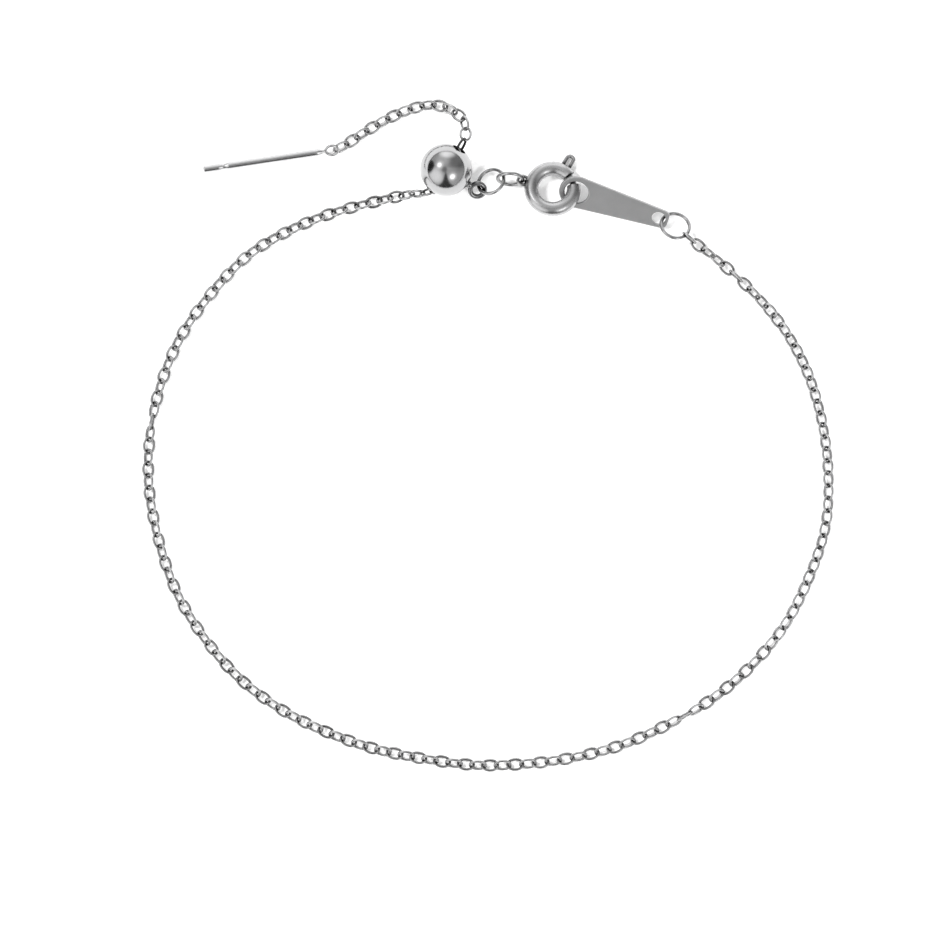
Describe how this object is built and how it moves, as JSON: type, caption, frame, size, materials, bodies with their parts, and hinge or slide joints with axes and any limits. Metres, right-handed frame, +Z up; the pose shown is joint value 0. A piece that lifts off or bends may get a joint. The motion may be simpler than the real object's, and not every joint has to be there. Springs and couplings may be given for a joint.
{
  "type": "adjustable chain bracelet",
  "caption": "Fine adjustable chain bracelet lying as an open loop, with a slider ball, threading pin on its tail, spring ring clasp and tapered end tag.",
  "frame": {"origin": "on the surface the bracelet lies on, under the middle of its bounding box", "axes": "+X across the loop, from the slider ball's side to the end tag's; +Y across the loop towards the clasp and tail; +Z up, out of the flat loop"},
  "size_m": [0.0768, 0.0746, 0.0058],
  "materials": {
    "chain": "bright polished wire links",
    "ball": "mirror polished",
    "jump_ring": "polished wire",
    "clasp": "soft polished tube",
    "latch": "polished wire",
    "tag": "satin sheet",
    "pin": "polished rod"
  },
  "bodies": {
    "bracelet": {"chain": "chain", "slider_ball": "ball", "ball_jump_ring": "jump_ring", "clasp_jump_ring": "jump_ring", "clasp_ring": "clasp", "end_tag": "tag", "tag_jump_ring": "jump_ring", "threading_pin": "pin"},
    "latch": {"clasp_latch": "latch"}
  },
  "joints": [
    {"name": "trigger", "type": "hinge", "parent": "bracelet", "child": "latch", "pos_m": [0.00713, 0.0273, 0.00146], "axis": [0, 0.2807, 0.9598], "range_deg": [0, 27], "stiffness_Nm_per_rad": 0.01, "springref_deg": -5.73}
  ]
}
